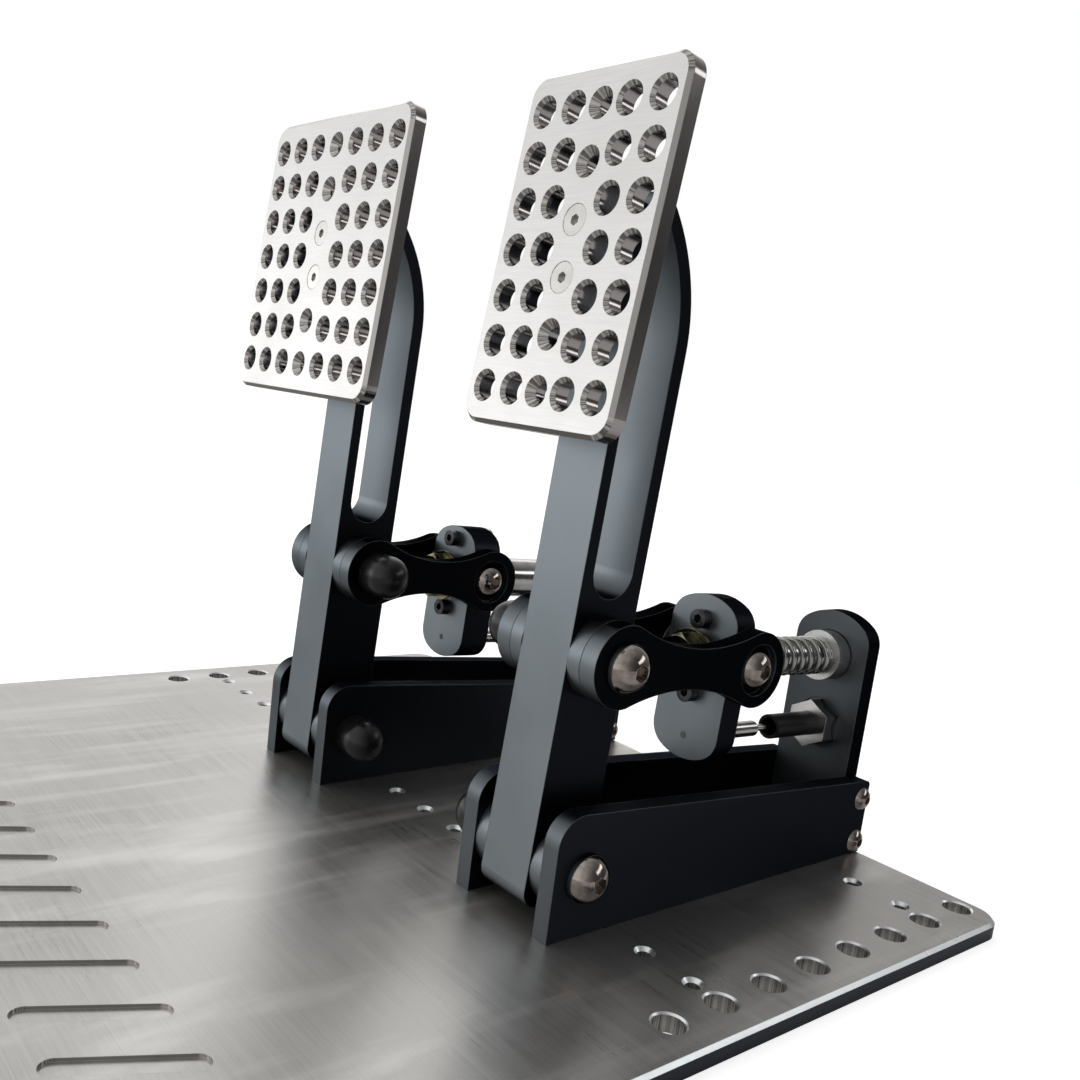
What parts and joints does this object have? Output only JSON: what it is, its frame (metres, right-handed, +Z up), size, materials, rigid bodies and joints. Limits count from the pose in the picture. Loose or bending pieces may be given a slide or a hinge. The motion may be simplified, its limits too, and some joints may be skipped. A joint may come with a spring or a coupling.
{
  "type": "racing simulator pedal set",
  "caption": "Brake and throttle pedals with perforated faces, slotted arms, dog-bone links and sprung guide rods on a drilled base plate.",
  "frame": {"origin": "middle of the base plate's underside", "axes": "+X to the driver's right, +Y away from the driver, +Z up; the underside lies on Z = 0"},
  "size_m": [0.37, 0.3647, 0.2682],
  "materials": {
    "base_steel": "brushed satin stainless",
    "black_anodised": "satin black anodised",
    "face_alloy": "brushed satin, bright machined edges",
    "fastener_steel": "polished stainless",
    "rod_steel": "ground and polished",
    "spring_steel": "drawn stainless wire",
    "bright_collar": "turned, bright",
    "bush_bronze": "oiled sintered bronze",
    "black_nylon": "moulded, slight gloss",
    "pad_rubber": "cast urethane"
  },
  "bodies": {
    "base": {"base_plate": "base_steel", "foot_screws": "fastener_steel", "upright_screws": "fastener_steel", "pivot_bolts": "fastener_steel", "pivot_nuts": "fastener_steel", "pivot_spacers": "black_anodised", "guide_bushes": "bright_collar", "sensor_nuts": "fastener_steel", "brake_pivot_cap": "black_nylon", "throttle_pivot_cap": "black_nylon", "brake_left_side_plate": "black_anodised", "brake_right_side_plate": "black_anodised", "brake_upright": "black_anodised", "brake_sensor_body": "black_nylon", "brake_load_pad": "pad_rubber", "throttle_left_side_plate": "black_anodised", "throttle_right_side_plate": "black_anodised", "throttle_upright": "black_anodised", "throttle_sensor_body": "black_nylon", "throttle_spring": "spring_steel"},
    "brake_pedal_arm": {"brake_arm": "black_anodised", "brake_arm_bushes": "bush_bronze", "brake_face_block": "black_anodised", "brake_face_plate": "face_alloy", "brake_face_screws": "fastener_steel", "brake_link_bolt": "fastener_steel", "brake_link_nut": "fastener_steel", "brake_link_spacers": "black_anodised", "brake_link_cap": "black_nylon"},
    "brake_links": {"brake_left_link": "black_anodised", "brake_right_link": "black_anodised"},
    "brake_carriage": {"brake_carrier_plate": "black_anodised", "brake_link_end_screws": "fastener_steel", "brake_link_washers": "fastener_steel", "brake_carrier_screws": "fastener_steel", "brake_guide_rod": "rod_steel", "brake_rod_nut": "fastener_steel", "brake_rod_washer": "black_anodised", "brake_load_sleeve": "rod_steel", "brake_sensor_plunger": "rod_steel"},
    "throttle_pedal_arm": {"throttle_arm": "black_anodised", "throttle_arm_bushes": "bush_bronze", "throttle_face_block": "black_anodised", "throttle_face_plate": "face_alloy", "throttle_face_screws": "fastener_steel", "throttle_link_bolt": "fastener_steel", "throttle_link_nut": "fastener_steel", "throttle_link_spacers": "black_anodised", "throttle_link_cap": "black_nylon"},
    "throttle_links": {"throttle_left_link": "black_anodised", "throttle_right_link": "black_anodised"},
    "throttle_carriage": {"throttle_carrier_plate": "black_anodised", "throttle_link_end_screws": "fastener_steel", "throttle_link_washers": "fastener_steel", "throttle_carrier_screws": "fastener_steel", "throttle_guide_rod": "rod_steel", "throttle_rod_nut": "fastener_steel", "throttle_rod_washer": "black_anodised", "throttle_spring_cup": "fastener_steel", "throttle_sensor_plunger": "rod_steel"}
  },
  "joints": [
    {"name": "brake_pedal", "type": "hinge", "parent": "base", "child": "brake_pedal_arm", "pos_m": [-0.04, 0.0185, 0.026], "axis": [-1, 0, 0], "range_deg": [0, 8], "stiffness_Nm_per_rad": 280, "springref_deg": -0.57},
    {"name": "brake_link_pivot", "type": "hinge", "parent": "brake_pedal_arm", "child": "brake_links", "pos_m": [-0.04, 0.02182, 0.09392], "axis": [-1, 0, 0], "range_deg": [-8.6, 0]},
    {"name": "brake_carriage_slide", "type": "slide", "parent": "base", "child": "brake_carriage", "axis": [0, 0.999, -0.0436], "range_m": [0, 0.0095], "deforming": ["brake_load_pad"]},
    {"name": "throttle_pedal", "type": "hinge", "parent": "base", "child": "throttle_pedal_arm", "pos_m": [0.1, 0.0185, 0.026], "axis": [-1, 0, 0], "range_deg": [0, 15], "stiffness_Nm_per_rad": 14, "springref_deg": -5.73},
    {"name": "throttle_link_pivot", "type": "hinge", "parent": "throttle_pedal_arm", "child": "throttle_links", "pos_m": [0.1, 0.02312, 0.09384], "axis": [-1, 0, 0], "range_deg": [-17.1, 0]},
    {"name": "throttle_carriage_slide", "type": "slide", "parent": "base", "child": "throttle_carriage", "axis": [0, 0.999, -0.0436], "range_m": [0, 0.0177], "deforming": ["throttle_spring"]}
  ],
  "couplings": [
    {"joint": "brake_link_pivot", "follows": "brake_pedal", "ratio": -1.0708},
    {"joint": "brake_carriage_slide", "follows": "brake_pedal", "m_per_rad": 0.067943},
    {"joint": "throttle_link_pivot", "follows": "throttle_pedal", "ratio": -1.1341},
    {"joint": "throttle_carriage_slide", "follows": "throttle_pedal", "m_per_rad": 0.067444}
  ]
}
